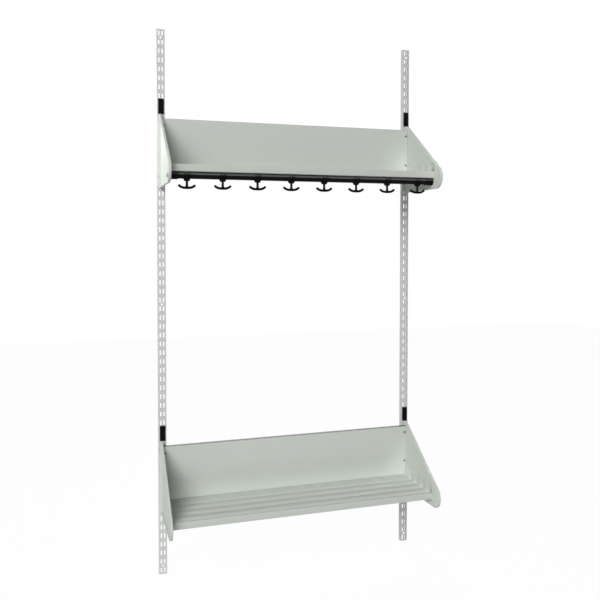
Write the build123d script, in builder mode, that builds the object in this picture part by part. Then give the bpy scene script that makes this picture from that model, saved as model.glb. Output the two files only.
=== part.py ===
from build123d import *
import os
from math import acos, atan2, degrees, hypot

# Wall-hung cloakroom unit for children: two slotted uprights carry a hat shelf with a
# coat rail of swivelling anchor hooks, and a shoe shelf near the floor.
# Millimetres. X runs across the unit, -Y points into the room, +Z is up.
# The origin is on the wall, midway between the uprights, level with their lower ends.

# Uprights
upright_spacing = 970.0
upright_width = 29.0
upright_depth = 15.0
upright_sheet = 1.5
upright_bend = 1.4
slot_spacing = 32.0
slot_count = 62
slot_width = 5.0
slot_height = 17.0
slot_row_spacing = 12.0
slot_end_inset = 14.0
wall_hole_radius = 4.0
wall_hole_gaps = (0, 30, 60)

# Hook plates, one at each end of each shelf
upper_lug_slot = 45
lower_lug_slot = 8
lug_slot_step = 2
lug_rows = 4
plate_sheet = 2.0
plate_side_inset = 0.5
plate_above_lugs = 30.0
plate_below_lugs = 38.0
lug_neck_height = 8.0
lug_tip_drop = 6.5
lug_tip_depth = 3.5
lug_gap = 0.3
window_width = 4.0

# Gables
shelf_depth = 285.0
gable_sheet = 1.5
gable_rim = 8.0
gable_fold = 1.0
gable_top_land = 8.0
nose_radius = 42.0

# Back panels
panel_sheet = 1.2
panel_depth = 16.0
panel_top_drop = 17.5
panel_end_gap = 0.4
panel_fold = 0.8
panel_screw_inset = 7.0
panel_screw_drop = 24.0
panel_screw_spacing = 115.0

# Trays
tray_sheet = 1.2
tray_front_setback = 48.0
hat_tray_height = 21.5
shoe_tray_height = 9.5
fascia_height = 24.0
fascia_lip = 8.0
fascia_bend = 3.0
tray_rear_flange = 12.0
tray_rear_gap = 1.0
fold_overlap = 5.0
tray_end_gap = 0.2
tray_end_height = 32.0
tray_end_corner = 6.0
tray_end_chamfer = 10.0
groove_count = 4
groove_width = 27.0
groove_floor = 9.0
groove_depth = 3.5
first_groove = 74.0
last_groove_inset = 19.0

# Coat rail and its ends
rail_radius = 12.5
rail_wall = 1.5
rail_setback = 7.0
rail_below_tray = 35.2
socket_wall = 2.0
socket_length = 28.0
socket_base = 9.0
rail_clearance = 0.2
rail_end_gap = 0.3
bolt_radius = 4.0
bolt_head_width = 13.0
bolt_head_height = 5.3
bolt_depth = 7.0
washer_radius = 12.0
washer_thickness = 1.6

# Hooks and their collars
hook_count = 8
hook_spacing = 121.5
hook_drop = 34.0
hook_span = 55.0
hook_rise = 8.0
hook_wire_radius = 3.5
hook_wire_sides = 8
hook_tip_chamfer = 1.5
arm_shares = (-1.0, -0.8, -0.5, 0.5, 0.8, 1.0)
hook_head_radius = 5.6
hook_head_height = 2.6
hook_clearance = 0.06
hook_head_clearance = 0.3
hook_end_float = 0.15
collar_width = 22.0
collar_wall = 2.4
collar_boss_drop = 7.0
collar_mouth_angle = 70.0

# Locking clips
clip_width = 19.0
clip_height = 55.0
clip_depth = 6.0
clip_chamfer = 1.5
clip_gap = 0.2
clip_peg_slot_step = 2
clip_peg_width = 4.0
clip_peg_height = 13.0
clip_peg_length = 6.0
clip_peg_chamfer = 1.2

# Fasteners: shanks and their holes have flat sides, which keeps the faces few
shank_sides = 8
screw_radius = 2.0
screw_head_radius = 3.8
screw_head_height = 2.2
fastener_clearance = 0.1
screw_tip_gap = 0.3

# How far a cut runs past the faces that it opens
overrun = 1.0

# Places worked out from the sizes above
half_spacing = upright_spacing / 2
upright_length = 2 * slot_end_inset + (slot_count - 1) * slot_spacing
plate_top = (lug_rows - 1) * lug_slot_step * slot_spacing + plate_above_lugs
plate_width = upright_width - 2 * plate_side_inset
gable_inner_x = half_spacing - gable_sheet / 2
gable_outer_x = half_spacing + gable_sheet / 2
panel_front = plate_sheet + panel_depth
panel_top = plate_top - panel_top_drop
tray_front = shelf_depth - tray_front_setback
tray_rear = plate_sheet + tray_rear_gap
grooved_rear = panel_front + tray_rear_gap
tray_end_x = gable_inner_x - tray_end_gap
ridge_end_x = tray_end_x - groove_depth - tray_sheet
rail_front_distance = tray_front - rail_setback - rail_radius
rail_z_above_datum = hat_tray_height - rail_below_tray
socket_radius = rail_radius + rail_clearance + socket_wall
rail_half_length = gable_inner_x - socket_base - rail_end_gap


def slot_z(index):
    """Height of a slot's centre, counted from the bottom of the upright."""
    return slot_end_inset + index * slot_spacing


upper_datum = slot_z(upper_lug_slot)
lower_datum = slot_z(lower_lug_slot)
shelves = {"upper": upper_datum, "lower": lower_datum}
tray_heights = {"upper": hat_tray_height, "lower": shoe_tray_height}
rail_y = -upright_depth - rail_front_distance
rail_z = upper_datum + rail_z_above_datum
hook_places = [(index - (hook_count - 1) / 2) * hook_spacing for index in range(hook_count)]
groove_pitch = (tray_front - last_groove_inset - first_groove) / (groove_count - 1)
groove_places = [first_groove + index * groove_pitch for index in range(groove_count)]


def side_plane(x, z):
    """Plane across the unit: first axis to the front from the uprights' faces, second axis up."""
    return Plane(origin=(x, -upright_depth, z), x_dir=(0, -1, 0), z_dir=(-1, 0, 0))


def front_plane(distance):
    """Plane parallel to the wall, at a distance in front of the uprights' faces."""
    return Plane.XZ.offset(upright_depth + distance)


def mirrored(part):
    """The same pressing for the other end of the unit."""
    return mirror(part, about=Plane.YZ)


def save(part, name):
    part.label = name
    export_step(part, f"parts/{name}.step")


def make_upright(centre_x):
    with BuildPart() as upright:
        with BuildSketch(Plane.XY):
            with Locations((centre_x, -upright_depth / 2)):
                Rectangle(upright_width, upright_depth)
            with Locations((centre_x, -(upright_depth - upright_sheet) / 2)):
                Rectangle(
                    upright_width - 2 * upright_sheet,
                    upright_depth - upright_sheet,
                    mode=Mode.SUBTRACT,
                )
        extrude(amount=upright_length)
        outer_bends = upright.faces().sort_by(Axis.Y)[0].edges().filter_by(Axis.Z)
        fillet(outer_bends, radius=upright_bend)
        with BuildSketch(front_plane(0)):
            with Locations((centre_x, upright_length / 2)):
                with GridLocations(slot_row_spacing, slot_spacing, 2, slot_count):
                    Rectangle(slot_width, slot_height)
            hole_heights = [slot_z(gap) + slot_spacing / 2 for gap in wall_hole_gaps]
            with Locations(*[(centre_x, height) for height in hole_heights]):
                Circle(wall_hole_radius)
        extrude(amount=-(upright_sheet + overrun), mode=Mode.SUBTRACT)
    return upright.part


def draw_lug():
    """A lug that passes back through a slot and hooks down behind the web."""
    neck_end = -(upright_sheet + lug_gap)
    tip_end = neck_end - lug_tip_depth
    neck_bottom = -slot_height / 2
    tip_bottom = neck_bottom - lug_tip_drop
    neck_top = neck_bottom + lug_neck_height
    Polyline(
        (0, neck_bottom),
        (neck_end, neck_bottom),
        (neck_end, tip_bottom),
        (tip_end + lug_tip_depth / 2, tip_bottom),
        (tip_end, neck_bottom),
        (tip_end, neck_top),
        (0, neck_top),
        close=True,
    )


def make_left_hook_plate(datum):
    lug_heights = [datum + row * lug_slot_step * slot_spacing for row in range(lug_rows)]
    with BuildPart() as plate:
        with BuildSketch(front_plane(0)):
            with Locations((-half_spacing, datum + (plate_top - plate_below_lugs) / 2)):
                Rectangle(plate_width, plate_top + plate_below_lugs)
            for side in (-1, 1):
                window_x = side * (slot_row_spacing + plate_sheet + window_width) / 2
                window_z = (lug_neck_height - slot_height) / 2
                places = [(window_x - half_spacing, z + window_z) for z in lug_heights]
                with Locations(*places):
                    Rectangle(window_width, lug_neck_height, mode=Mode.SUBTRACT)
            for height in panel_screw_heights(datum):
                with Locations((-(gable_inner_x - panel_screw_inset), height)):
                    RegularPolygon(
                        screw_radius + fastener_clearance, shank_sides, mode=Mode.SUBTRACT
                    )
        extrude(amount=plate_sheet)
        for side in (-1, 1):
            for height in lug_heights:
                lug_x = -half_spacing + side * slot_row_spacing / 2 + plate_sheet / 2
                with BuildSketch(side_plane(lug_x, height)):
                    with BuildLine():
                        draw_lug()
                    make_face()
                extrude(amount=plate_sheet)
    return plate.part


def panel_screw_heights(datum):
    upper_screw = datum + panel_top - panel_screw_drop
    return (upper_screw, upper_screw - panel_screw_spacing)


def draw_gable_outline():
    """Flat top, straight slope down to a round nose, straight lower edge."""
    nose_y = shelf_depth - nose_radius
    corner = (gable_top_land, plate_top)
    run = corner[0] - nose_y
    tangent_angle = degrees(atan2(corner[1], run) - acos(nose_radius / hypot(run, corner[1])))
    nose = CenterArc((nose_y, 0), nose_radius, -90, 90 + tangent_angle)
    Polyline(
        nose @ 1,
        corner,
        (plate_sheet, plate_top),
        (plate_sheet, -nose_radius),
        nose @ 0,
    )


def make_left_gable(datum, has_rail):
    inner_plane = side_plane(-gable_inner_x, datum)
    rim_depth = gable_sheet / 2 + gable_rim
    with BuildPart() as gable:
        with BuildSketch(inner_plane):
            with BuildLine():
                draw_gable_outline()
            make_face()
        extrude(amount=rim_depth)
        with BuildSketch(inner_plane.offset(gable_sheet)):
            with BuildLine():
                draw_gable_outline()
            make_face()
            offset(amount=-gable_sheet)
            with Locations((plate_sheet, (plate_top - nose_radius) / 2)):
                Rectangle(2 * gable_sheet + overrun, plate_top + nose_radius - 2 * gable_sheet)
        extrude(amount=rim_depth, mode=Mode.SUBTRACT)
        inner_face = gable.faces().sort_by(Axis.X)[-1]
        rear_edge = inner_face.edges().sort_by(Axis.Y)[-1]
        folds = [edge for edge in inner_face.edges() if edge != rear_edge]
        chamfer(folds, length=gable_fold)
        if has_rail:
            with BuildSketch(inner_plane):
                with Locations((rail_front_distance, rail_z_above_datum)):
                    RegularPolygon(bolt_radius + fastener_clearance, shank_sides)
            extrude(amount=gable_sheet + overrun, mode=Mode.SUBTRACT)
    return gable.part


def make_panel(datum, tray_height):
    half_width = gable_inner_x - panel_end_gap
    height = panel_top - tray_height
    centre = (0, datum + tray_height + height / 2)
    with BuildPart() as panel:
        with BuildSketch(front_plane(plate_sheet)):
            with Locations(centre):
                Rectangle(2 * half_width, height)
        extrude(amount=panel_depth)
        chamfer(panel.faces().sort_by(Axis.Y)[0].edges(), length=panel_fold)
        with BuildSketch(front_plane(plate_sheet)):
            with Locations(centre):
                Rectangle(2 * (half_width - panel_sheet), height - 2 * panel_sheet)
        extrude(amount=panel_depth - panel_sheet, mode=Mode.SUBTRACT)
        screw_x = gable_inner_x - panel_screw_inset
        with BuildSketch(front_plane(plate_sheet)):
            for screw_height in panel_screw_heights(datum):
                with Locations((-screw_x, screw_height), (screw_x, screw_height)):
                    RegularPolygon(screw_radius + fastener_clearance, shank_sides)
        extrude(amount=panel_depth, mode=Mode.SUBTRACT)
    return panel.part


def draw_grooved_edge(level):
    """One side of the grooved sheet, from the panel's face to the bend of the front edge."""
    start = (grooved_rear, level)
    for place in groove_places:
        rim_out = (place + groove_width / 2, level)
        Polyline(
            start,
            (place - groove_width / 2, level),
            (place - groove_floor / 2, level + groove_depth),
            (place + groove_floor / 2, level + groove_depth),
            rim_out,
        )
        start = rim_out
    Line(start, (tray_front - fascia_bend, level))


def make_tray(datum, tray_height):
    """A sheet with rolled grooves, turned up at both ends, and folded down in front and behind."""
    top_z = datum + tray_height
    end_top_z = top_z + tray_end_height
    section_plane = Plane(
        origin=(-ridge_end_x, -upright_depth, end_top_z), x_dir=(0, -1, 0), z_dir=(0, 0, -1)
    )
    fold_plane = side_plane(tray_end_x, top_z - tray_sheet / 2)
    front_fold_y = tray_front - tray_sheet / 2
    rear_fold_y = tray_rear + tray_sheet / 2
    lip_z = tray_sheet - fascia_height
    with BuildPart() as tray:
        with BuildLine(Plane.XZ.offset(upright_depth)) as route:
            Polyline(
                (-ridge_end_x, end_top_z),
                (-ridge_end_x, top_z + tray_end_corner),
                (tray_end_corner - ridge_end_x, top_z),
                (ridge_end_x - tray_end_corner, top_z),
                (ridge_end_x, top_z + tray_end_corner),
                (ridge_end_x, end_top_z),
            )
        with BuildSketch(section_plane):
            with BuildLine():
                draw_grooved_edge(0)
                draw_grooved_edge(tray_sheet)
                Line((grooved_rear, 0), (grooved_rear, tray_sheet))
                Line((tray_front - fascia_bend, 0), (tray_front - fascia_bend, tray_sheet))
            make_face()
        sweep(path=route.wires()[0], transition=Transition.RIGHT)
        with BuildSketch(fold_plane):
            with BuildLine():
                FilletPolyline(
                    (tray_front - fascia_bend - fold_overlap, 0),
                    (front_fold_y, 0),
                    (front_fold_y, lip_z),
                    (tray_front - fascia_lip, lip_z),
                    radius=fascia_bend - tray_sheet / 2,
                )
            trace(line_width=tray_sheet)
            with BuildLine():
                FilletPolyline(
                    (rear_fold_y, -tray_rear_flange),
                    (rear_fold_y, 0),
                    (grooved_rear + fold_overlap, 0),
                    radius=fascia_bend - tray_sheet / 2,
                )
            trace(line_width=tray_sheet)
        extrude(amount=2 * tray_end_x)
        with BuildSketch(side_plane(tray_end_x, top_z)):
            with BuildLine():
                front_edge = tray_front - fascia_bend
                Polyline(
                    (front_edge - tray_end_chamfer, tray_end_height),
                    (front_edge, tray_end_height),
                    (front_edge, tray_end_height - tray_end_chamfer),
                    close=True,
                )
            make_face()
        extrude(amount=2 * tray_end_x, mode=Mode.SUBTRACT)
    return tray.part


def make_rail():
    end_plane = Plane(origin=(-rail_half_length, rail_y, rail_z), z_dir=(1, 0, 0))
    with BuildPart() as rail:
        with BuildSketch(end_plane):
            Circle(rail_radius)
            Circle(rail_radius - rail_wall, mode=Mode.SUBTRACT)
        extrude(amount=2 * rail_half_length)
    return rail.part


def make_sockets():
    """Cups that hold the ends of the rail, each with a bore for its bolt in the base."""
    base_plane = Plane(origin=(-gable_inner_x, rail_y, rail_z), z_dir=(1, 0, 0))
    with BuildPart() as sockets:
        with BuildSketch(base_plane):
            Circle(socket_radius)
        extrude(amount=socket_length)
        with BuildSketch(base_plane.offset(socket_base)):
            Circle(rail_radius + rail_clearance)
        extrude(amount=socket_length, mode=Mode.SUBTRACT)
        with BuildSketch(base_plane):
            RegularPolygon(bolt_radius + fastener_clearance, shank_sides)
        extrude(amount=bolt_depth + rail_end_gap, mode=Mode.SUBTRACT)
        mirror(about=Plane.YZ)
    return sockets.part


def make_rail_bolts():
    """A hexagon bolt from outside each gable into the socket, mirrored for the other end."""
    outside_x = -(gable_outer_x + washer_thickness)
    head_plane = Plane(origin=(outside_x, rail_y, rail_z), z_dir=(-1, 0, 0))
    with BuildPart() as bolts:
        with BuildSketch(head_plane):
            RegularPolygon(bolt_head_width / 2, 6, major_radius=False)
        extrude(amount=bolt_head_height)
        with BuildSketch(head_plane):
            RegularPolygon(bolt_radius, shank_sides)
        extrude(amount=-(washer_thickness + gable_sheet + bolt_depth))
        mirror(about=Plane.YZ)
    return bolts.part


def make_rail_washers():
    washer_plane = Plane(origin=(-gable_outer_x, rail_y, rail_z), z_dir=(-1, 0, 0))
    with BuildPart() as washers:
        with BuildSketch(washer_plane):
            Circle(washer_radius)
            RegularPolygon(bolt_radius + fastener_clearance, shank_sides, mode=Mode.SUBTRACT)
        extrude(amount=washer_thickness)
        mirror(about=Plane.YZ)
    return washers.part


def make_collars():
    """Rings that snap on to the rail from below, each with a boss in which a hook turns."""
    outer_radius = rail_radius + rail_clearance + collar_wall
    boss_height = rail_radius + collar_boss_drop
    head_seat = rail_radius + rail_clearance + hook_head_height + 2 * hook_end_float
    boss_places = [(place, rail_y) for place in hook_places]
    boss_top = Plane.XY.offset(rail_z)
    ring_planes = [
        Plane(origin=(place - collar_width / 2, rail_y, rail_z), x_dir=(0, 1, 0), z_dir=(1, 0, 0))
        for place in hook_places
    ]
    with BuildPart() as collars:
        with BuildSketch(boss_top):
            with Locations(*boss_places):
                Circle(collar_width / 2)
        extrude(amount=-boss_height)
        with BuildSketch(*ring_planes):
            Circle(outer_radius)
        extrude(amount=collar_width)
        with BuildSketch(*ring_planes):
            Circle(rail_radius + rail_clearance)
        extrude(amount=collar_width, mode=Mode.SUBTRACT)
        with BuildSketch(*ring_planes):
            with BuildLine():
                left = PolarLine((0, 0), 2 * outer_radius, 90 + collar_mouth_angle / 2)
                right = PolarLine((0, 0), 2 * outer_radius, 90 - collar_mouth_angle / 2)
                Line(left @ 1, right @ 1)
            make_face()
        extrude(amount=collar_width, mode=Mode.SUBTRACT)
        with BuildSketch(boss_top):
            with Locations(*boss_places):
                RegularPolygon(
                    hook_head_radius + hook_head_clearance, hook_wire_sides, major_radius=False
                )
        extrude(amount=-head_seat, mode=Mode.SUBTRACT)
        with BuildSketch(boss_top):
            with Locations(*boss_places):
                Circle(hook_wire_radius + hook_clearance)
        extrude(amount=-(boss_height + overrun), mode=Mode.SUBTRACT)
    return collars.part


def make_hook(x):
    """Anchor-shaped double hook: a stem with a head at its top and two upturned arms."""
    head_top = rail_z - rail_radius - rail_clearance - hook_end_float
    wire_bottom = rail_z - rail_radius - hook_drop + hook_wire_radius
    arm_points = [
        (x + share * hook_span / 2, wire_bottom + abs(share) ** 3 * hook_rise) for share in arm_shares
    ]
    with BuildPart() as hook:
        with BuildLine(Plane.XZ.offset(-rail_y)) as arms:
            Polyline(*arm_points)
        with BuildSketch(Plane(origin=arms.line @ 0, z_dir=arms.line % 0)):
            RegularPolygon(hook_wire_radius, hook_wire_sides, major_radius=False)
        sweep(path=arms.wires()[0], transition=Transition.RIGHT)
        tips = hook.faces().sort_by(Axis.X)
        chamfer(tips[0].edges() + tips[-1].edges(), length=hook_tip_chamfer)
        with BuildSketch(Plane.XY.offset(head_top)):
            with Locations((x, rail_y)):
                RegularPolygon(hook_head_radius, hook_wire_sides)
        extrude(amount=-hook_head_height)
        with BuildSketch(Plane.XY.offset(head_top)):
            with Locations((x, rail_y)):
                Circle(hook_wire_radius)
        extrude(amount=wire_bottom - head_top)
    return hook.part


def make_left_clip(datum):
    """A block that closes the slots above the hook plate, held by two pegs."""
    bottom = datum + plate_top + clip_gap
    top_lug_slots = (lug_rows - 1) * lug_slot_step
    peg_z = datum + (top_lug_slots + clip_peg_slot_step) * slot_spacing
    with BuildPart() as clip:
        with BuildSketch(front_plane(0)):
            with Locations((-half_spacing, bottom + clip_height / 2)):
                Rectangle(clip_width, clip_height)
        extrude(amount=clip_depth)
        chamfer(clip.faces().sort_by(Axis.Y)[0].edges(), length=clip_chamfer)
        with BuildSketch(front_plane(0)):
            with Locations((-half_spacing, peg_z)):
                with GridLocations(slot_row_spacing, slot_spacing, 2, 1):
                    Rectangle(clip_peg_width, clip_peg_height)
        extrude(amount=-clip_peg_length)
        peg_ends = clip.faces().sort_by(Axis.Y)[-2:].edges().filter_by(Axis.X)
        chamfer(peg_ends, length=clip_peg_chamfer)
    return clip.part


def make_panel_screws():
    """Pan-head screws through the panels' ends into the hook plates."""
    screw_x = gable_inner_x - panel_screw_inset
    heights = [height for datum in shelves.values() for height in panel_screw_heights(datum)]
    places = [(side * screw_x, height) for side in (-1, 1) for height in heights]
    with BuildPart() as screws:
        with BuildSketch(front_plane(panel_front)):
            with Locations(*places):
                Circle(screw_head_radius)
        extrude(amount=screw_head_height)
        with BuildSketch(front_plane(panel_front)):
            with Locations(*places):
                RegularPolygon(screw_radius, shank_sides)
        extrude(amount=-(panel_front - screw_tip_gap))
    return screws.part


os.makedirs("parts", exist_ok=True)

save(make_upright(-half_spacing), "upright_left")
save(make_upright(half_spacing), "upright_right")

for shelf, datum in shelves.items():
    hook_plate = make_left_hook_plate(datum)
    save(hook_plate, f"hook_plate_{shelf}_left")
    save(mirrored(hook_plate), f"hook_plate_{shelf}_right")
    gable = make_left_gable(datum, has_rail=shelf == "upper")
    save(gable, f"gable_{shelf}_left")
    save(mirrored(gable), f"gable_{shelf}_right")
    clip = make_left_clip(datum)
    save(clip, f"locking_clip_{shelf}_left")
    save(mirrored(clip), f"locking_clip_{shelf}_right")
    save(make_panel(datum, tray_heights[shelf]), f"back_panel_{shelf}")

save(make_tray(upper_datum, hat_tray_height), "hat_tray")
save(make_tray(lower_datum, shoe_tray_height), "shoe_tray")

save(make_rail(), "coat_rail")
save(make_sockets(), "rail_sockets")
save(make_rail_bolts(), "rail_bolts")
save(make_rail_washers(), "rail_washers")

save(make_collars(), "hook_collars")
for number, place in enumerate(hook_places, start=1):
    save(make_hook(place), f"hook_{number}")

save(make_panel_screws(), "panel_screws")
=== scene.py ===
import math

import bmesh
import bpy
from mathutils import Matrix, Vector


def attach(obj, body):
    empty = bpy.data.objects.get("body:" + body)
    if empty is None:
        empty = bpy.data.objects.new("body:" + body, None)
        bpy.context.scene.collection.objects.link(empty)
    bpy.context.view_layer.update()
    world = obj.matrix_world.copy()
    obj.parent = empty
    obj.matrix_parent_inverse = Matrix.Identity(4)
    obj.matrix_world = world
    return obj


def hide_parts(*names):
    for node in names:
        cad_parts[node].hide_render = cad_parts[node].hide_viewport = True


# The wall-hung cloakroom unit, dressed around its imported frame.
# Metres. X runs across the unit, -Y points into the room, +Z is up.

# Camera, at the photograph's viewing angle
CAMERA_PLACE = (-0.7775, -2.5500, 1.2317)
CAMERA_YAW = 0.2941
CAMERA_PITCH = -0.0284
CAMERA_LENS = 41.65
CAMERA_SENSOR = 36.0
CAMERA_SHIFT = (0.0212, -0.0709)

# Uprights, gables and back panels, as in the solids. Reaches are measured out from the front
# of the uprights.
HALF_SPACING = 0.485
UPRIGHT_DEPTH = 0.015
UPRIGHT_SHEET = 0.0015
UPRIGHT_WIDTH = 0.029
GABLE_SHEET = 0.0015
GABLE_INNER_X = HALF_SPACING - GABLE_SHEET / 2
GABLE_OUTER_X = HALF_SPACING + GABLE_SHEET / 2
PANEL_REACH = 0.018
PANEL_FRONT_Y = -UPRIGHT_DEPTH - PANEL_REACH

# How far past the channels' inner faces their painted shade is looked for
CHANNEL_MARGIN = 0.0001

# Trays
TRAY_TOPS = {"hat_tray": 1.4755, "shoe_tray": 0.2795}
TRAY_SHEET = 0.0012
TRAY_FRONT_REACH = 0.237
TRAY_REAR_REACH = 0.019
TRAY_BACK_REACH = 0.003
TRAY_FRONT = -UPRIGHT_DEPTH - TRAY_FRONT_REACH
TRAY_REAR = -UPRIGHT_DEPTH - TRAY_REAR_REACH
TRAY_BACK_FOLD = -UPRIGHT_DEPTH - TRAY_BACK_REACH
TRAY_BACK_FLANGE = 0.012
TRAY_END_GAP = 0.0002
TRAY_END_X = GABLE_INNER_X - TRAY_END_GAP
TRAY_END_HEIGHT = 0.032
TRAY_END_BEND = 0.005
TRAY_END_RUN_OUT = 0.008
TRAY_END_CHAMFER = 0.010
TRAY_END_STEPS = 8
FASCIA_HEIGHT = 0.024
FASCIA_LIP = 0.008
FASCIA_BEND = 0.003
BEND_STEPS = 6

# Grooves: a little wider and deeper than in the solids, with soft shoulders
GROOVE_COUNT = 4
GROOVE_SPACING = 0.048
FIRST_GROOVE_REACH = 0.074
GROOVE_HALF_WIDTH = 0.0155
GROOVE_HALF_FLOOR = 0.0050
GROOVE_DEPTH = 0.0055
FLANK_STEPS = 6
GROOVES = [
    -UPRIGHT_DEPTH - FIRST_GROOVE_REACH - index * GROOVE_SPACING for index in range(GROOVE_COUNT)
]

# Coat rail
RAIL_REACH = 0.2175
RAIL_Y = -UPRIGHT_DEPTH - RAIL_REACH
RAIL_Z = 1.4403
RAIL_RADIUS = 0.0125
RAIL_BOTTOM_Z = RAIL_Z - RAIL_RADIUS

# Hooks: a little thicker than in the solids, with round arms
HOOK_COUNT = 8
HOOK_SPACING = 0.1215
HOOK_PLACES = [(index - (HOOK_COUNT - 1) / 2) * HOOK_SPACING for index in range(HOOK_COUNT)]
HOOK_WIRE = 0.0043
HOOK_HALF_SPAN = 0.0275
HOOK_RISE = 0.0080
HOOK_DROP = 0.034
HOOK_BOTTOM_Z = RAIL_BOTTOM_Z - HOOK_DROP
HOOK_TIP_INSET = 0.0008
ARM_STEPS = 28
ARM_SIDES = 16
ARM_END_ANGLES = (1.35, 1.0, 0.6, 0.3)
ARM_END_SHARE = 0.7
HOOK_HEAD_GAP = 0.00035
HOOK_HEAD_TOP_Z = RAIL_BOTTOM_Z - HOOK_HEAD_GAP
HOOK_HEAD_RADIUS = 0.0056
HOOK_HEAD_HEIGHT = 0.0026
HOOK_HEAD_CHAMFER = 0.0006
HOOK_CORE = 0.0002
STEM_SHARE = 0.98
STEM_START_SHARE = 0.6
STEM_SIDES = 24
STEM_COAT_START_Z = HOOK_BOTTOM_Z + 0.008
STEM_COAT_FULL_Z = HOOK_BOTTOM_Z + 0.014
# Radius and height of the weld between the stem and the arms, as shares of the wire's radius
WELD_SHARES = ((1.35, 1.7), (1.05, 2.6), (0.98, 3.4))
WELD_VOXEL = 0.00055
WELD_SOFTENING = 0.5
WELD_PASSES = 3

# Collars of the hooks, on the rail
COLLAR_WIDTH = 0.022
COLLAR_GAP = 0.0002
COLLAR_WALL = 0.0024
COLLAR_INNER = RAIL_RADIUS + COLLAR_GAP
COLLAR_OUTER = COLLAR_INNER + COLLAR_WALL
COLLAR_EDGE_SHARE = 0.4
COLLAR_MOUTH = math.radians(70)
COLLAR_STEPS = 40
BOSS_DROP = 0.007
BOSS_TOP_SHARE = 0.72
BOSS_RADIUS_SHARE = 0.94
BOSS_FILLET = 0.0028
BOSS_SIDES = 40
BORE_GAP = 0.0001
BORE_CHAMFER = 0.0005
HEAD_POCKET_GAP = 0.0004
HEAD_SEAT_DROP = 0.0031

# Panel screws: the height of each panel's upper ones, and how far the next one is turned
SCREW_INSET = 0.007
SCREW_X = GABLE_INNER_X - SCREW_INSET
SCREW_TOPS = (1.6345, 0.4505)
SCREW_SPACING = 0.115
SCREW_TURN = 0.7

# Shape of a screw that is seated at z = 0, with its head towards +Z
SCREW_CORE = 0.0001
SCREW_SHANK_RADIUS = 0.0019
SCREW_SHANK_LENGTH = 0.0015
SCREW_HEAD_RADIUS = 0.0038
SCREW_EDGE_CENTRE = (0.0027, 0.0010)
SCREW_EDGE_RADIUS = 0.0011
SCREW_CROWN = (0.0018, 0.00215)
SCREW_HEAD_HEIGHT = 0.0023
SCREW_SIDES = 32
# Height, reach of an arm and half its width, at the recess's floor and above its mouth
CROSS_FLOOR = (0.0009, 0.0012, 0.0004)
CROSS_MOUTH = (0.0035, 0.0024, 0.0005)

# Rail bolts and washers
BOLT_HEAD_WIDTH = 0.013
BOLT_HEAD_HEIGHT = 0.0053
BOLT_SHOULDER_SHARE = 0.82
BOLT_TOP_SHARE = 0.94
BOLT_RADIUS = 0.004
BOLT_DEPTH = 0.009
BOLT_OVERLAP = 0.0002
BOLT_SIDES = 24
WASHER_BORE = 0.0041
WASHER_RADIUS = 0.012
WASHER_THICKNESS = 0.0016
WASHER_RIM = 0.0004
WASHER_SIDES = 40

# Stage
FLOOR_HALF_SIZE = 6.0
FLOOR_DROP = 0.001
FLOOR_PALE = 0.85
FLOOR_MARK_SHARES = (0.98, 0.98, 0.97)
FLOOR_WHITE_SHARE = 0.97


# Mesh helpers


def link_object(name, data):
    """A new object in the scene that holds this data."""
    made = bpy.data.objects.new(name, data)
    bpy.context.scene.collection.objects.link(made)
    return made


def add_object(name, mesh, material):
    """A new piece from a finished bmesh."""
    data = bpy.data.meshes.new(name)
    bmesh.ops.recalc_face_normals(mesh, faces=mesh.faces)
    mesh.to_mesh(data)
    mesh.free()
    data.materials.append(material)
    return link_object(name, data)


def applied_mesh(piece):
    """A copy of the piece's mesh with its modifiers applied."""
    graph = bpy.context.evaluated_depsgraph_get()
    return bpy.data.meshes.new_from_object(piece.evaluated_get(graph))


def smooth_by_angle(piece, degrees):
    """Smooth shading that keeps edges sharper than the angle."""
    data = piece.data
    data.shade_smooth()
    data.set_sharp_from_angle(angle=math.radians(degrees))


def link_rings(mesh, rings, capped=True):
    """Faces between closed rings of vertices, and over the first and last ring if capped."""
    for ring, following in zip(rings, rings[1:]):
        count = len(ring)
        for index in range(count):
            after = (index + 1) % count
            mesh.faces.new((ring[index], ring[after], following[after], following[index]))
    if capped:
        mesh.faces.new(rings[0])
        mesh.faces.new(rings[-1])


def lathe(mesh, profile, matrix, sides, closed=False):
    """Turns (radius, height) points about the matrix's Z axis."""
    rings = []
    for radius, height in profile:
        ring = []
        for index in range(sides):
            angle = 2 * math.pi * index / sides
            point = Vector((radius * math.cos(angle), radius * math.sin(angle), height))
            ring.append(mesh.verts.new(matrix @ point))
        rings.append(ring)
    if closed:
        rings.append(rings[0])
    link_rings(mesh, rings, capped=not closed)


def rounded_corner(centre, radius, start, stop, steps=5):
    """Points on an arc about a centre, with angles in degrees."""
    points = []
    for index in range(steps + 1):
        angle = math.radians(start + (stop - start) * index / steps)
        points.append((centre[0] + radius * math.cos(angle), centre[1] + radius * math.sin(angle)))
    return points


# Materials


def colour(red, green, blue):
    return (red, green, blue, 1.0)


def grey(level):
    return colour(level, level, level)


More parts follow.
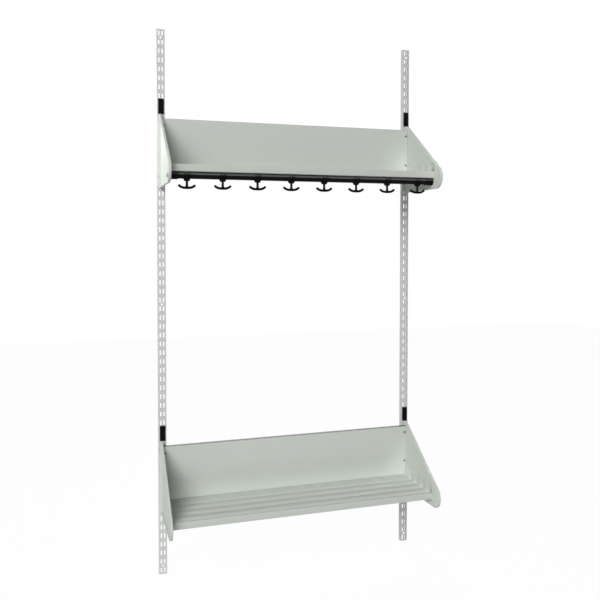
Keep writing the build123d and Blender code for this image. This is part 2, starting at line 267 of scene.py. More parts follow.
class Shading:
    """A node material with one Principled shader, and short calls to add nodes."""

    def __init__(self, name, roughness, metallic=0.0, shine=0.5):
        self.material = bpy.data.materials.new(name)
        self.material.use_nodes = True
        self.tree = self.material.node_tree
        self.tree.nodes.clear()
        self.output = self.tree.nodes.new("ShaderNodeOutputMaterial")
        self.shader = self.tree.nodes.new("ShaderNodeBsdfPrincipled")
        self.shader.inputs["Roughness"].default_value = roughness
        self.shader.inputs["Metallic"].default_value = metallic
        self.shader.inputs["Specular IOR Level"].default_value = shine
        self.feed(self.output.inputs["Surface"], self.shader.outputs["BSDF"])
        self.place = self.node("ShaderNodeTexCoord").outputs["Object"]

    def node(self, kind, **settings):
        made = self.tree.nodes.new(kind)
        for name, value in settings.items():
            setattr(made, name, value)
        return made

    def feed(self, socket, value):
        """Links an output to the socket, or sets the socket's own value."""
        if isinstance(value, bpy.types.NodeSocket):
            self.tree.links.new(value, socket)
        else:
            socket.default_value = value

    def drive(self, name, value):
        """Feeds an input of the shader by its name."""
        self.feed(self.shader.inputs[name], value)

    def noise(self, scale, detail=3.0, stretch=(1.0, 1.0, 1.0)):
        mapping = self.node("ShaderNodeMapping")
        mapping.inputs["Scale"].default_value = stretch
        self.feed(mapping.inputs["Vector"], self.place)
        made = self.node("ShaderNodeTexNoise")
        self.feed(made.inputs["Vector"], mapping.outputs["Vector"])
        made.inputs["Scale"].default_value = scale
        made.inputs["Detail"].default_value = detail
        made.inputs["Roughness"].default_value = 0.5
        return made.outputs["Fac"]

    def spread(self, value, low, high, to_low=0.0, to_high=1.0):
        """Maps the range from low to high onto the range from to_low to to_high."""
        made = self.node("ShaderNodeMapRange", clamp=True)
        self.feed(made.inputs["Value"], value)
        made.inputs["From Min"].default_value = low
        made.inputs["From Max"].default_value = high
        made.inputs["To Min"].default_value = to_low
        made.inputs["To Max"].default_value = to_high
        return made.outputs["Result"]

    def maths(self, operation, first, second=0.0):
        made = self.node("ShaderNodeMath", operation=operation)
        self.feed(made.inputs[0], first)
        self.feed(made.inputs[1], second)
        return made.outputs["Value"]

    def blend(self, share, first, second):
        made = self.node("ShaderNodeMix", data_type="RGBA")
        self.feed(made.inputs["Factor"], share)
        self.feed(made.inputs["A"], first)
        self.feed(made.inputs["B"], second)
        return made.outputs["Result"]

    def soft_edges(self, radius):
        """The normal of an edge rounded to this radius, and a mask of where the edges are."""
        bevel = self.node("ShaderNodeBevel", samples=4)
        bevel.inputs["Radius"].default_value = radius
        geometry = self.node("ShaderNodeNewGeometry")
        dot = self.node("ShaderNodeVectorMath", operation="DOT_PRODUCT")
        self.feed(dot.inputs[0], bevel.outputs["Normal"])
        self.feed(dot.inputs[1], geometry.outputs["Normal"])
        mask = self.spread(dot.outputs["Value"], low=0.99, high=0.80)
        return bevel.outputs["Normal"], mask

    def facing_up(self, low, high):
        """A mask that grows from 0 to 1 as the surface turns upward."""
        geometry = self.node("ShaderNodeNewGeometry")
        parts = self.node("ShaderNodeSeparateXYZ")
        self.feed(parts.inputs["Vector"], geometry.outputs["Normal"])
        return self.spread(parts.outputs["Z"], low, high)

    def inside_channels(self):
        """A mask of the uprights' inner faces."""
        parts = self.node("ShaderNodeSeparateXYZ")
        self.feed(parts.inputs["Vector"], self.place)
        from_middle = self.maths("ABSOLUTE", parts.outputs["X"])
        across = self.maths("SUBTRACT", from_middle, HALF_SPACING)
        half_inside = UPRIGHT_WIDTH / 2 - UPRIGHT_SHEET + CHANNEL_MARGIN
        front_inside = UPRIGHT_SHEET - UPRIGHT_DEPTH - CHANNEL_MARGIN
        within = self.maths("LESS_THAN", self.maths("ABSOLUTE", across), half_inside)
        behind = self.maths("GREATER_THAN", parts.outputs["Y"], front_inside)
        return self.maths("MULTIPLY", within, behind)

    def bump(self, height, strength, distance, normal):
        made = self.node("ShaderNodeBump")
        made.inputs["Strength"].default_value = strength
        made.inputs["Distance"].default_value = distance
        self.feed(made.inputs["Height"], height)
        self.feed(made.inputs["Normal"], normal)
        return made.outputs["Normal"]


def powder_coat(name, pale, deep, worn, gloss, peel=0.10, shine=0.5, wear_and_painted_light=None, painted_channel_shade=None):
    """Baked powder paint: orange peel, slow changes of tone, thin paint along the edges.

    A painted-light colour, where given, lies over the upper side: painted shade on the panel tops
    and a painted reflection on the rail. A painted shade colour lies inside the channels of the
    uprights.
    """
    coat = Shading(name, roughness=gloss[0], shine=shine)
    normal, edges = coat.soft_edges(radius=0.0008)
    tone = coat.spread(coat.noise(scale=2.3, detail=1.0), low=0.1, high=0.9, to_high=0.6)
    speckle = coat.spread(coat.noise(scale=900.0, detail=2.0), low=0.2, high=0.8, to_high=0.4)
    base = coat.blend(coat.maths("ADD", tone, speckle), pale, deep)
    # Painted light over the upper side: painted shade on the panel tops, a painted reflection on
    # the rail
    if wear_and_painted_light:
        base = coat.blend(coat.facing_up(low=0.0, high=0.16), base, wear_and_painted_light)
    # Painted shade inside the channels of the uprights
    if painted_channel_shade:
        base = coat.blend(coat.inside_channels(), base, painted_channel_shade)
    chips = coat.spread(coat.noise(scale=160.0, detail=5.0), low=0.52, high=0.62)
    thin_paint = coat.maths("ADD", coat.maths("MULTIPLY", chips, 0.5), 0.3)
    wear = coat.maths("MULTIPLY", edges, thin_paint)
    coat.drive("Base Color", coat.blend(wear, base, worn))
    handled = coat.noise(scale=5.0, detail=2.0)
    smoothest, roughest = gloss
    coat.drive("Roughness", coat.spread(handled, 0.1, 0.9, to_low=smoothest, to_high=roughest))
    grain = coat.noise(scale=620.0, detail=2.0)
    coat.drive("Normal", coat.bump(grain, strength=peel, distance=0.0004, normal=normal))
    return coat.material


def moulded_plastic(name, base, worn, painted_top_sheen, roughness):
    """Black moulded plastic: a fine spark-eroded grain, worn edges, a painted reflection greying
    the upper sides.
    """
    plastic = Shading(name, roughness, shine=0.04)
    normal, edges = plastic.soft_edges(radius=0.0006)
    patches = plastic.spread(plastic.noise(scale=220.0), low=0.4, high=0.7)
    wear_and_painted_light = plastic.maths("MULTIPLY", edges, patches)
    # A painted reflection greys the upper sides
    skin = plastic.blend(plastic.facing_up(low=0.0, high=0.2), base, painted_top_sheen)
    plastic.drive("Base Color", plastic.blend(wear_and_painted_light, skin, worn))
    sheen = plastic.spread(plastic.noise(scale=30.0), low=0.3, high=0.7,
                           to_low=roughness - 0.06, to_high=roughness + 0.08)
    plastic.drive("Roughness", sheen)
    grain = plastic.noise(scale=2600.0, detail=1.0)
    plastic.drive("Normal", plastic.bump(grain, strength=0.25, distance=0.0002, normal=normal))
    return plastic.material


def zinc_plate(name, dark, pale, worn):
    """Zinc plating: cloudy tones, fine turning marks, pale worn edges."""
    plate = Shading(name, roughness=0.35, metallic=1.0)
    normal, edges = plate.soft_edges(radius=0.0003)
    cloud = plate.spread(plate.noise(scale=260.0, detail=4.0), low=0.35, high=0.65)
    base = plate.blend(cloud, dark, pale)
    plate.drive("Base Color", plate.blend(edges, base, worn))
    plate.drive("Roughness", plate.spread(cloud, 0.0, 1.0, to_low=0.28, to_high=0.45))
    marks = plate.noise(scale=900.0, detail=2.0, stretch=(1.0, 1.0, 6.0))
    plate.drive("Normal", plate.bump(marks, strength=0.12, distance=0.0002, normal=normal))
    return plate.material


def coated_wire(name, coat, stem_coat, wear_and_painted_light):
    """Black coated steel wire, paler on the stem, worn where loops hang in the arms."""
    wire = Shading(name, roughness=0.3, shine=0.03)
    parts = wire.node("ShaderNodeSeparateXYZ")
    wire.feed(parts.inputs["Vector"], wire.place)
    stem = wire.spread(parts.outputs["Z"], low=STEM_COAT_START_Z, high=STEM_COAT_FULL_Z)
    upper = wire.facing_up(low=0.75, high=1.0)
    patches = wire.spread(wire.noise(scale=240.0, detail=4.0), low=0.48, high=0.62)
    wear = wire.maths("MULTIPLY", wire.maths("MULTIPLY", upper, patches), 0.5)
    base = wire.blend(stem, coat, stem_coat)
    wire.drive("Base Color", wire.blend(wear, base, wear_and_painted_light))
    wire.drive("Roughness", wire.spread(patches, 0.0, 1.0, to_low=0.36, to_high=0.26))
    skin = wire.noise(scale=900.0, detail=2.0)
    plain = wire.node("ShaderNodeNewGeometry").outputs["Normal"]
    wire.drive("Normal", wire.bump(skin, strength=0.12, distance=0.0003, normal=plain))
    return wire.material


def stage_material(name, pale, marked, white_share):
    """Matt floor that the camera sees near white, with the object's shadow kept."""
    floor = Shading(name, roughness=0.9)
    marks = floor.spread(floor.noise(scale=1.5, detail=4.0), low=0.3, high=0.7)
    floor.drive("Base Color", floor.blend(marks, pale, marked))
    glow = floor.node("ShaderNodeEmission")
    glow.inputs["Color"].default_value = grey(1.0)
    rays = floor.node("ShaderNodeLightPath")
    seen = floor.maths("MAXIMUM", rays.outputs["Is Camera Ray"], rays.outputs["Is Glossy Ray"])
    seen = floor.maths("MAXIMUM", seen, rays.outputs["Is Transmission Ray"])
    mix = floor.node("ShaderNodeMixShader")
    floor.feed(mix.inputs["Fac"], floor.maths("MULTIPLY", seen, white_share))
    floor.feed(mix.inputs[1], floor.shader.outputs["BSDF"])
    floor.feed(mix.inputs[2], glow.outputs["Emission"])
    floor.feed(floor.output.inputs["Surface"], mix.outputs["Shader"])
    return floor.material


def repaint(node_names, material):
    """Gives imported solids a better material."""
    for name in node_names:
        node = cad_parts[name]
        node.data.materials.clear()
        node.data.materials.append(material)


# Trays


def groove_drop(y):
    """How far the sheet lies below its ridges at this depth, with soft shoulders."""
    for groove in GROOVES:
        away = abs(y - groove)
        if away < GROOVE_HALF_WIDTH:
            slope = (GROOVE_HALF_WIDTH - away) / (GROOVE_HALF_WIDTH - GROOVE_HALF_FLOOR)
            slope = min(slope, 1.0)
            return GROOVE_DEPTH * slope * slope * (3 - 2 * slope)
    return 0.0


def groove_stations():
    """Depths at which the grooved sheet has a row of vertices, close together on the flanks."""
    stations = {TRAY_REAR, TRAY_FRONT + FASCIA_BEND}
    flank = GROOVE_HALF_WIDTH - GROOVE_HALF_FLOOR
    for groove in GROOVES:
        for step in range(FLANK_STEPS + 1):
            away = GROOVE_HALF_FLOOR + flank * step / FLANK_STEPS
            stations.update((groove - away, groove + away))
    return sorted(stations, reverse=True)


def tray_route(top_z):
    """Points and outward normals of the ridge surface, from one turned-up end to the other."""
    ridge_x = TRAY_END_X - GROOVE_DEPTH - TRAY_SHEET
    rise = TRAY_END_HEIGHT - TRAY_END_RUN_OUT
    left = []
    for step in range(TRAY_END_STEPS, 0, -1):
        left.append((-ridge_x, top_z + TRAY_END_RUN_OUT + rise * step / TRAY_END_STEPS, 180.0))
    for step in range(BEND_STEPS + 1):
        angle = 180.0 + 90.0 * step / BEND_STEPS
        turn = math.radians(angle)
        left.append((
            -ridge_x + TRAY_END_BEND + TRAY_END_BEND * math.cos(turn),
            top_z + TRAY_END_BEND + TRAY_END_BEND * math.sin(turn),
            angle,
        ))
    # The right end mirrors the left one, so its angles count back from one and a half turns
    right = [(-x, z, 540.0 - angle) for x, z, angle in reversed(left)]
    return left + right


def add_grooved_sheet(mesh, top_z):
    """The grooved sheet, turned up at both ends, where its grooves run out."""
    depths = groove_stations()
    front_y = depths[-1]
    run_out_z = top_z + TRAY_END_RUN_OUT
    end_z = top_z + TRAY_END_HEIGHT
    rings = []
    for x, z, angle in tray_route(top_z):
        turn = math.radians(angle)
        flat = max(0.0, (z - run_out_z) / (end_z - run_out_z))
        height_share = max(0.0, z - top_z) / TRAY_END_HEIGHT
        ring = []
        for lift, row in ((0.0, depths), (TRAY_SHEET, depths[::-1])):
            for y in row:
                out = groove_drop(y) * (1 - flat) + GROOVE_DEPTH * flat + lift
                cut = max(0.0, TRAY_END_CHAMFER - (y - front_y)) * height_share
                ring.append(mesh.verts.new((
                    x + out * math.cos(turn), y, z - cut + out * math.sin(turn)
                )))
        rings.append(ring)
    link_rings(mesh, rings)


def sheet_bend(centre_y, centre_z, start, sweep, steps):
    """Points along a fold's outer face, each with the angle that points into the sheet."""
    points = []
    for step in steps:
        angle = start + sweep * step / BEND_STEPS
        turn = math.radians(angle)
        y = centre_y + FASCIA_BEND * math.cos(turn)
        z = centre_z + FASCIA_BEND * math.sin(turn)
        points.append((y, z, angle + 180.0))
    return points


def fascia_points(top_z):
    """Outer face of the front fascia, from the tray's top to the lip's edge."""
    low_z = top_z - FASCIA_HEIGHT
    bend_y = TRAY_FRONT + FASCIA_BEND
    points = [(bend_y, top_z, 270.0)]
    points += sheet_bend(bend_y, top_z - FASCIA_BEND, 90.0, 90.0, range(1, BEND_STEPS))
    points += [(TRAY_FRONT, top_z - FASCIA_BEND, 0.0)]
    points += sheet_bend(bend_y, low_z + FASCIA_BEND, 180.0, 90.0, range(BEND_STEPS + 1))
    points += [(TRAY_FRONT + FASCIA_LIP, low_z, 90.0)]
    return points


def rear_fold_points(top_z):
    """Outer face of the rear fold, from the tray's top to the flange's edge."""
    bend_y = TRAY_BACK_FOLD - FASCIA_BEND
    points = [(TRAY_REAR, top_z, 270.0)]
    points += sheet_bend(bend_y, top_z - FASCIA_BEND, 90.0, -90.0, range(BEND_STEPS + 1))
    points += [(TRAY_BACK_FOLD, top_z - TRAY_BACK_FLANGE, 180.0)]
    return points


def add_strip(mesh, points):
    """A folded sheet of constant section along the tray, from the points of its outer face."""
    section = [(y, z) for y, z, _ in points]
    for y, z, angle in reversed(points):
        turn = math.radians(angle)
        section.append((y + TRAY_SHEET * math.cos(turn), z + TRAY_SHEET * math.sin(turn)))
    rings = [[mesh.verts.new((x, y, z)) for y, z in section] for x in (-TRAY_END_X, TRAY_END_X)]
    link_rings(mesh, rings)


def make_tray(node, material, body):
    top_z = TRAY_TOPS[node]
    mesh = bmesh.new()
    add_grooved_sheet(mesh, top_z)
    add_strip(mesh, fascia_points(top_z))
    add_strip(mesh, rear_fold_points(top_z))
    piece = add_object(f"{node}_sheet", mesh, material)
    smooth_by_angle(piece, degrees=30)
    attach(piece, body)
    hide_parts(node)


# Hooks and collars


def add_tube(mesh, points, radius, sides):
    """A round tube along points in the XZ plane, with rounded ends."""
    final = len(points) - 1
    first_way = (points[0] - points[1]).normalized()
    last_way = (points[-1] - points[-2]).normalized()
    head = []
    for angle in ARM_END_ANGLES:
        centre = points[0] + first_way * radius * math.sin(angle) * ARM_END_SHARE
        head.append((0, centre, radius * math.cos(angle)))
    tail = []
    for angle in reversed(ARM_END_ANGLES):
        centre = points[-1] + last_way * radius * math.sin(angle) * ARM_END_SHARE
        tail.append((final, centre, radius * math.cos(angle)))
    middle = [(index, point, radius) for index, point in enumerate(points)]
    side = Vector((0, 1, 0))
    rings = []
    for index, centre, ring_radius in head + middle + tail:
        before = points[max(index - 1, 0)]
        after = points[min(index + 1, final)]
        up = (after - before).normalized().cross(side)
        ring = []
        for corner in range(sides):
            angle = 2 * math.pi * corner / sides
            across = side * (ring_radius * math.cos(angle))
            offset = across + up * (ring_radius * math.sin(angle))
            ring.append(mesh.verts.new(centre + offset))
        rings.append(ring)
    link_rings(mesh, rings)


def arm_route():
    """The line of the two arms, which rises towards both tips."""
    reach = HOOK_HALF_SPAN - HOOK_TIP_INSET
    points = []
    for step in range(ARM_STEPS + 1):
        share = 2 * step / ARM_STEPS - 1
        lift = HOOK_RISE * abs(share) ** 3
        points.append(Vector((share * reach, RAIL_Y, HOOK_BOTTOM_Z + HOOK_WIRE + lift)))
    return points


def stem_profile():
    """The turned stem, from inside the arms up to its head in the collar."""
    start_z = HOOK_BOTTOM_Z + HOOK_WIRE * STEM_START_SHARE
    head_z = HOOK_HEAD_TOP_Z - HOOK_HEAD_HEIGHT
    profile = [(HOOK_CORE, start_z), (HOOK_WIRE * STEM_SHARE, start_z)]
    for radius_share, height_share in WELD_SHARES:
        profile.append((HOOK_WIRE * radius_share, HOOK_BOTTOM_Z + HOOK_WIRE * height_share))
    profile += [
        (HOOK_WIRE * STEM_SHARE, head_z),
        (HOOK_HEAD_RADIUS, head_z),
        (HOOK_HEAD_RADIUS, HOOK_HEAD_TOP_Z - HOOK_HEAD_CHAMFER),
        (HOOK_HEAD_RADIUS - HOOK_HEAD_CHAMFER, HOOK_HEAD_TOP_Z),
        (HOOK_CORE, HOOK_HEAD_TOP_Z),
    ]
    return profile


def welded_hook(material):
    """One hook about x = 0, its arms and stem welded into a single skin."""
    mesh = bmesh.new()
    add_tube(mesh, arm_route(), HOOK_WIRE, ARM_SIDES)
    lathe(mesh, stem_profile(), Matrix.Translation((0, RAIL_Y, 0)), STEM_SIDES)
    source = add_object("hook_source", mesh, material)
    remesh = source.modifiers.new("weld", "REMESH")
    remesh.mode = "VOXEL"
    remesh.voxel_size = WELD_VOXEL
    soften = source.modifiers.new("soften", "SMOOTH")
    soften.factor = WELD_SOFTENING
    soften.iterations = WELD_PASSES
    skin = applied_mesh(source)
    bpy.data.objects.remove(source)
    skin.shade_smooth()
    return skin


def make_hooks(material):
    skin = welded_hook(material)
    for number, place in enumerate(HOOK_PLACES, start=1):
        data = skin.copy()
        data.transform(Matrix.Translation((place, 0, 0)))
        piece = link_object(f"hook_{number}_anchor", data)
        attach(piece, f"hook_{number}")
        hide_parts(f"hook_{number}")


def add_split_ring(mesh, centre_x):
    """The collar's ring around the rail, with rounded edges and its mouth at the top."""
    half = COLLAR_WIDTH / 2
    corner = (COLLAR_OUTER - COLLAR_INNER) * COLLAR_EDGE_SHARE
    section = rounded_corner((half - corner, COLLAR_OUTER - corner), corner, 0, 90)
    section += rounded_corner((-half + corner, COLLAR_OUTER - corner), corner, 90, 180)
    section += [(-half, COLLAR_INNER), (half, COLLAR_INNER)]
    first = math.pi / 2 + COLLAR_MOUTH / 2
    sweep = 2 * math.pi - COLLAR_MOUTH
    rings = []
    for step in range(COLLAR_STEPS + 1):
        angle = first + sweep * step / COLLAR_STEPS
        ring = []
        for along, radius in section:
            y = RAIL_Y + radius * math.cos(angle)
            z = RAIL_Z + radius * math.sin(angle)
            ring.append(mesh.verts.new((centre_x + along, y, z)))
        rings.append(ring)
    link_rings(mesh, rings)


def add_boss(mesh, centre_x):
    """The collar's boss, with a bore for the stem and a pocket for its head."""
    low = RAIL_BOTTOM_Z - BOSS_DROP
    high = RAIL_Z - COLLAR_INNER * BOSS_TOP_SHARE
    seat = RAIL_BOTTOM_Z - HEAD_SEAT_DROP
    outer = COLLAR_WIDTH / 2 * BOSS_RADIUS_SHARE
    bore = HOOK_WIRE + BORE_GAP
    pocket = HOOK_HEAD_RADIUS + HEAD_POCKET_GAP
    profile = [(bore, low + BORE_CHAMFER), (bore + BORE_CHAMFER, low)]
    profile += rounded_corner((outer - BOSS_FILLET, low + BOSS_FILLET), BOSS_FILLET, -90, 0)
    profile += [(outer, high), (pocket, high), (pocket, seat), (bore, seat)]
    axis = Matrix.Translation((centre_x, RAIL_Y, 0))
    lathe(mesh, profile, axis, BOSS_SIDES, closed=True)


def make_collars(material):
    mesh = bmesh.new()
    for place in HOOK_PLACES:
        add_split_ring(mesh, place)
        add_boss(mesh, place)
    piece = add_object("hook_collars_moulded", mesh, material)
    smooth_by_angle(piece, degrees=40)
    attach(piece, "frame")
    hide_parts("hook_collars")


# Fasteners


def cut_with(piece, cutter):
    """The piece's mesh without the cutter's volume. Both objects are removed."""
    knife = piece.modifiers.new("cut", "BOOLEAN")
    knife.operation = "DIFFERENCE"
    knife.solver = "EXACT"
    knife.object = cutter
    bpy.context.view_layer.update()
    cut = applied_mesh(piece)
    bpy.data.objects.remove(cutter)
    bpy.data.objects.remove(piece)
    return cut


def screw_head(material):
    """A pan head with a short stretch of its shank."""
    mesh = bmesh.new()
    profile = [
        (SCREW_CORE, -SCREW_SHANK_LENGTH),
        (SCREW_SHANK_RADIUS, -SCREW_SHANK_LENGTH),
        (SCREW_SHANK_RADIUS, 0.0),
        (SCREW_HEAD_RADIUS, 0.0),
    ]
    profile += rounded_corner(SCREW_EDGE_CENTRE, SCREW_EDGE_RADIUS, 0, 60)
    profile += [SCREW_CROWN, (SCREW_CORE, SCREW_HEAD_HEIGHT)]
    lathe(mesh, profile, Matrix.Identity(4), SCREW_SIDES)
    return add_object("screw_head", mesh, material)


def screw_cross(material):
    """The volume of the cross recess, which narrows towards its floor."""
    mesh = bmesh.new()
    rings = []
    for level, arm, web in (CROSS_FLOOR, CROSS_MOUTH):
        quarter = [(arm, -web), (arm, web), (web, web)]
        ring = []
        for turn in range(4):
            spin = Matrix.Rotation(turn * math.pi / 2, 3, "Z")
            ring += [mesh.verts.new(spin @ Vector((x, y, level))) for x, y in quarter]
        rings.append(ring)
    link_rings(mesh, rings)
    return add_object("screw_cross", mesh, material)


def make_screws(material):
    """All panel screws, each turned a little further than the one before it."""
    screw = cut_with(screw_head(material), screw_cross(material))
    heights = [top - row * SCREW_SPACING for top in SCREW_TOPS for row in range(2)]
    places = [(side * SCREW_X, height) for side in (-1, 1) for height in heights]
    forward = Matrix.Rotation(math.pi / 2, 4, "X")
    joined = bmesh.new()
    for index, (x, z) in enumerate(places):
        seat = Matrix.Translation((x, PANEL_FRONT_Y, z))
        turned = screw.copy()
        turned.transform(seat @ forward @ Matrix.Rotation(index * SCREW_TURN, 4, "Z"))
        joined.from_mesh(turned)
        bpy.data.meshes.remove(turned)
    piece = add_object("panel_screws_cross", joined, material)
    smooth_by_angle(piece, degrees=35)
    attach(piece, "frame")
    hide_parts("panel_screws")


def bolt_head_profile():
    """A hexagon head, turned with six sides, whose corners are cut off at the top."""
    flat = BOLT_HEAD_WIDTH / 2
    corner = flat / math.cos(math.pi / 6)
    shoulder = BOLT_HEAD_HEIGHT * BOLT_SHOULDER_SHARE
    return [(corner, 0.0), (corner, shoulder), (flat * BOLT_TOP_SHARE, BOLT_HEAD_HEIGHT)]


def washer_profile():
    """A washer with a rounded rim on its outer side."""
    rim_centre = (WASHER_RADIUS - WASHER_RIM, WASHER_THICKNESS - WASHER_RIM)
    profile = [(WASHER_BORE, 0.0), (WASHER_RADIUS, 0.0)]
    profile += rounded_corner(rim_centre, WASHER_RIM, 0, 90, steps=3)
    profile += [(WASHER_BORE, WASHER_THICKNESS)]
    return profile


def make_bolts(material):
    """The bolts and washers on the upper gables that hold the ends of the rail."""
    bolts = bmesh.new()
    washers = bmesh.new()
    shank = [(BOLT_RADIUS, -BOLT_DEPTH), (BOLT_RADIUS, BOLT_OVERLAP)]
    for side in (-1, 1):
        outward = Matrix.Rotation(side * math.pi / 2, 4, "Y")
        seat = Matrix.Translation((side * GABLE_OUTER_X, RAIL_Y, RAIL_Z)) @ outward
        raised = seat @ Matrix.Translation((0, 0, WASHER_THICKNESS))
        lathe(bolts, bolt_head_profile(), raised, sides=6)
        lathe(bolts, shank, raised, BOLT_SIDES)
        lathe(washers, washer_profile(), seat, WASHER_SIDES, closed=True)
    for name, mesh in (("rail_bolts", bolts), ("rail_washers", washers)):
        piece = add_object(f"{name}_zinc", mesh, material)
        smooth_by_angle(piece, degrees=28)
        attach(piece, "frame")
        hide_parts(name)


# Stage, light and camera


def add_area_light(name, place, target, size, power, spread=180.0):
    """A rectangular lamp that faces its target, with the spread of its beam in degrees."""
    lamp = bpy.data.lights.new(name, "AREA")
    lamp.shape = "RECTANGLE"
    lamp.size = size[0]
    lamp.size_y = size[1]
    lamp.energy = power
    lamp.spread = math.radians(spread)
    holder = link_object(name, lamp)
    holder.location = place
    direction = Vector(target) - Vector(place)
    holder.rotation_euler = direction.to_track_quat("-Z", "Y").to_euler()


def add_background(tree, tint, strength):
    background = tree.nodes.new("ShaderNodeBackground")
    background.inputs["Color"].default_value = tint
    background.inputs["Strength"].default_value = strength
    return background


def make_world(tint, ambient):
    """White where it is seen or mirrored, and a dim even light on the object."""
    world = bpy.data.worlds.new("studio")
    world.use_nodes = True
    tree = world.node_tree
    tree.nodes.clear()
    output = tree.nodes.new("ShaderNodeOutputWorld")
    seen = add_background(tree, grey(1.0), 1.0)
    lit = add_background(tree, tint, ambient)
    rays = tree.nodes.new("ShaderNodeLightPath")
    first = tree.nodes.new("ShaderNodeMath")
    second = tree.nodes.new("ShaderNodeMath")
    for node in (first, second):
        node.operation = "MAXIMUM"
    mix = tree.nodes.new("ShaderNodeMixShader")
    tree.links.new(rays.outputs["Is Camera Ray"], first.inputs[0])
    tree.links.new(rays.outputs["Is Glossy Ray"], first.inputs[1])
    tree.links.new(first.outputs["Value"], second.inputs[0])
    tree.links.new(rays.outputs["Is Transmission Ray"], second.inputs[1])
    tree.links.new(second.outputs["Value"], mix.inputs["Fac"])
    tree.links.new(lit.outputs["Background"], mix.inputs[1])
    tree.links.new(seen.outputs["Background"], mix.inputs[2])
    tree.links.new(mix.outputs["Shader"], output.inputs["Surface"])
    bpy.context.scene.world = world


def make_stage():
    mesh = bmesh.new()
    ground = Matrix.Translation((0, 0, -FLOOR_DROP))
    bmesh.ops.create_grid(mesh, x_segments=1, y_segments=1, size=FLOOR_HALF_SIZE, matrix=ground)
    marked = colour(*(FLOOR_PALE * share for share in FLOOR_MARK_SHARES))
    material = stage_material("floor_pale", grey(FLOOR_PALE), marked, FLOOR_WHITE_SHARE)
    floor = add_object("floor", mesh, material)


def make_lamps():
    add_area_light("key", place=(-4.5, -6.0, 4.6), target=(0.0, -0.1, 0.5),
                   size=(6.0, 5.0), power=143.0, spread=70.0)
    add_area_light("left", place=(-1.9, -0.45, 2.6), target=(0.4, -0.15, 1.2),
                   size=(0.7, 0.7), power=5.0)
    add_area_light("back", place=(0.8, 5.2, 4.8), target=(0.0, 0.0, 1.0),
                   size=(3.0, 2.0), power=24.0, spread=60.0)
    # Narrow beams on the right ends of the panels and along the foot of the lower one
    add_area_light("end_upper", place=(0.46, -3.2, 2.0), target=(0.485, -0.03, 1.50),
                   size=(0.12, 0.12), power=0.016, spread=3.2)
    add_area_light("end_lower", place=(0.46, -3.2, 1.0), target=(0.485, -0.03, 0.32),
                   size=(0.12, 0.12), power=0.010, spread=3.2)
    add_area_light("foot", place=(0.0, -3.2, 1.1), target=(0.0, -0.03, 0.283),
                   size=(0.97, 0.03), power=0.046, spread=2.4)
    # A small lamp close to the outer side of the upper left gable
    add_area_light("side", place=(-0.85, 0.02, 1.70), target=(-0.49, -0.10, 1.56),
                   size=(0.12, 0.12), power=1.8)


def make_camera():
    data = bpy.data.cameras.new("photo_view")
    data.lens = CAMERA_LENS
    data.sensor_width = CAMERA_SENSOR
    data.shift_x = CAMERA_SHIFT[0]
    data.shift_y = CAMERA_SHIFT[1]
    camera = link_object("photo_view", data)
    camera.location = CAMERA_PLACE
    camera.rotation_euler = (math.pi / 2 + CAMERA_PITCH, 0, -CAMERA_YAW)
    bpy.context.scene.camera = camera


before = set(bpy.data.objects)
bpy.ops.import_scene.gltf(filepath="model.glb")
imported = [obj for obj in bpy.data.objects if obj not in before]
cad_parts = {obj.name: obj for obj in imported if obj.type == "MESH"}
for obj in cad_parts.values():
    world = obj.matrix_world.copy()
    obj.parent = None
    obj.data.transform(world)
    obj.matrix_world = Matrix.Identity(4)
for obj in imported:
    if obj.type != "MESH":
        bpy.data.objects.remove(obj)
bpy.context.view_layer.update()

# Finishes

SHEET_PAINT = {
    "pale": colour(0.520, 0.555, 0.510),
    "deep": colour(0.495, 0.530, 0.487),
    "worn": colour(0.60, 0.63, 0.59),
}
# A darker copy of the sheet paint: painted shade on the trays
SHADED_TRAY_PAINT = {
    "pale": colour(0.472, 0.504, 0.463),
    "deep": colour(0.449, 0.481, 0.442),
    "worn": colour(0.60, 0.63, 0.59),
}
UPRIGHT_PAINT = {
    "pale": colour(0.512, 0.531, 0.512),
    "deep": colour(0.484, 0.507, 0.486),
    "worn": colour(0.59, 0.60, 0.59),
}
RAIL_PAINT = {"pale": grey(0.003), "deep": grey(0.005), "worn": grey(0.02)}
SATIN = (0.20, 0.28)

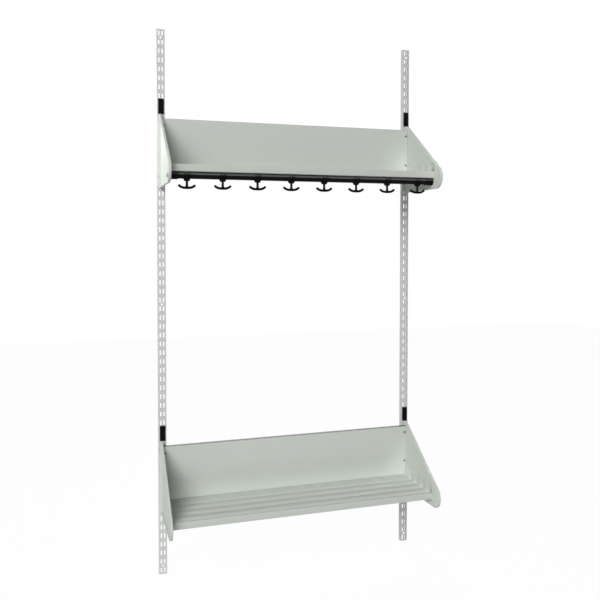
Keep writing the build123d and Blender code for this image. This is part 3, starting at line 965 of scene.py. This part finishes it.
sheet_grey = powder_coat("sheet_grey_coat", **SHEET_PAINT, gloss=SATIN, shine=0.7)
# The panel tops get painted shade: a dark grey over their upper sides
panel_grey = powder_coat(
    "panel_grey_coat", **SHEET_PAINT, gloss=SATIN, shine=0.7, wear_and_painted_light=grey(0.07)
)
# The trays get the darker copy of the sheet paint, as painted shade
shaded_tray_grey = powder_coat("tray_grey_coat", **SHADED_TRAY_PAINT, gloss=SATIN, shine=0.6)
gable_grey = powder_coat("gable_grey_coat", **SHEET_PAINT, gloss=(0.55, 0.65), shine=0.2)
# Painted shade darkens the inside of the uprights' channels
upright_grey = powder_coat(
    "upright_grey_coat", **UPRIGHT_PAINT, gloss=(0.34, 0.44), painted_channel_shade=colour(0.16, 0.17, 0.16)
)
# A painted reflection greys the rail's upper side
rail_black = powder_coat(
    "rail_black_coat", **RAIL_PAINT, gloss=SATIN, peel=0.05, shine=0.05,
    wear_and_painted_light=colour(0.095, 0.096, 0.096)
)
# A painted reflection greys the upper sides of the black plastic
plastic_black = moulded_plastic(
    "plastic_black_grain", base=grey(0.003), worn=grey(0.012), painted_top_sheen=grey(0.055), roughness=0.45
)
zinc = zinc_plate(
    "zinc_bright", dark=colour(0.36, 0.36, 0.35), pale=colour(0.46, 0.47, 0.47),
    worn=colour(0.55, 0.55, 0.54)
)
screw_grey = zinc_plate(
    "screw_grey", dark=grey(0.12), pale=grey(0.18), worn=colour(0.26, 0.26, 0.25)
)
hook_black = coated_wire(
    "hook_black_coat", coat=grey(0.003), stem_coat=colour(0.016, 0.017, 0.017),
    wear_and_painted_light=colour(0.02, 0.02, 0.021)
)

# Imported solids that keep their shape

ends = [f"{shelf}_{side}" for shelf in ("upper", "lower") for side in ("left", "right")]
repaint(("upright_left", "upright_right"), upright_grey)
repaint([f"gable_{end}" for end in ends], gable_grey)
repaint([f"hook_plate_{end}" for end in ends], sheet_grey)
repaint(("back_panel_upper", "back_panel_lower"), panel_grey)
repaint([f"locking_clip_{end}" for end in ends], plastic_black)
repaint(("rail_sockets",), plastic_black)
repaint(("coat_rail",), rail_black)

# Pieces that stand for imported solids

for tray in TRAY_TOPS:
    make_tray(tray, shaded_tray_grey, "frame")
make_hooks(hook_black)
make_collars(plastic_black)
make_screws(screw_grey)
make_bolts(zinc)

make_world(tint=colour(0.98, 1.0, 0.99), ambient=0.12)
make_stage()
make_lamps()
make_camera()
bpy.context.scene.view_settings.view_transform = "Standard"
